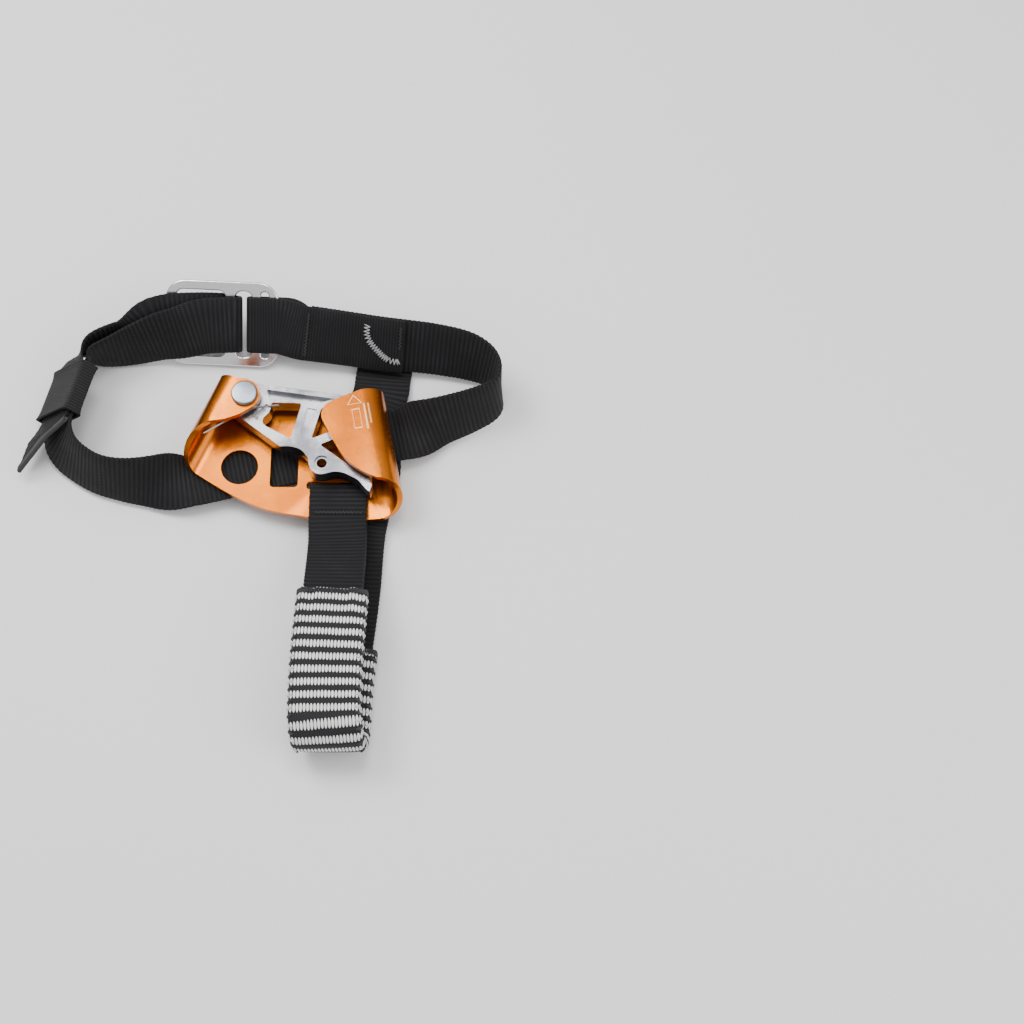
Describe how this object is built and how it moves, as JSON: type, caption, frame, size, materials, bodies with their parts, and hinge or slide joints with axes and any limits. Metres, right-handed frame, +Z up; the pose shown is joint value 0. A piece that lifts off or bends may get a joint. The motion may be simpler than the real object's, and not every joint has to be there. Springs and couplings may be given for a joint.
{
  "type": "foot_ascender_with_boot_straps",
  "caption": "Foot ascender for rope climbing: orange bent-sheet frame, toothed cam on a pivot, black boot straps with a ladder buckle and a striped sleeve under the foot.",
  "frame": {"origin": "middle of the footprint of the whole part, on the surface it lies on", "axes": "+Z up from the surface it lies on, out of the front of the plate; +Y towards the buckle, away from the sole of the boot; +X towards the rope channel"},
  "size_m": [0.2128, 0.2164, 0.0312],
  "materials": {
    "orange_anodised": "satin anodised",
    "cam_chrome": "plated casting",
    "rivet_steel": "brushed",
    "washer_steel": "plain",
    "spring_steel": "drawn wire",
    "bushing_bronze": "turned",
    "bright_buckle": "polished",
    "black_webbing": "woven",
    "keeper_elastic": "ribbed elastic",
    "sleeve_elastic": "striped elastic",
    "grey_thread": "sewn",
    "black_thread": "sewn"
  },
  "bodies": {
    "clamp": {"frame": "orange_anodised", "pivot_rivet": "rivet_steel", "pivot_bushing": "bushing_bronze", "rear_washer": "washer_steel", "front_washer": "washer_steel", "cam_spring": "spring_steel", "ankle_strap": "black_webbing", "buckle_strap": "black_webbing", "stirrup_strap": "black_webbing", "tail_hem": "black_webbing", "buckle": "bright_buckle", "stirrup_sleeve": "sleeve_elastic", "junction_bar_tack": "grey_thread", "sleeve_hem_front": "black_thread", "sleeve_hem_rear": "black_thread", "junction_stitch_left": "black_thread", "junction_stitch_right": "black_thread", "plate_bar_tack": "black_thread", "front_leg_stitch": "black_thread"},
    "cam": {"cam": "cam_chrome"},
    "keeper": {"strap_keeper": "keeper_elastic", "keeper_seam": "black_thread"}
  },
  "joints": [
    {"name": "cam_pivot", "type": "hinge", "parent": "clamp", "child": "cam", "pos_m": [-0.0052, 0.04828, 0.01957], "axis": [0, -0.0523, 0.9986], "range_deg": [-21, 0], "stiffness_Nm_per_rad": 0.06, "springref_deg": 34.38, "deforming": ["cam_spring"]},
    {"name": "keeper_slide", "type": "slide", "parent": "clamp", "child": "keeper", "axis": [0.2425, 0.9699, 0.0208], "range_m": [-0.0018, 0.0018]}
  ]
}
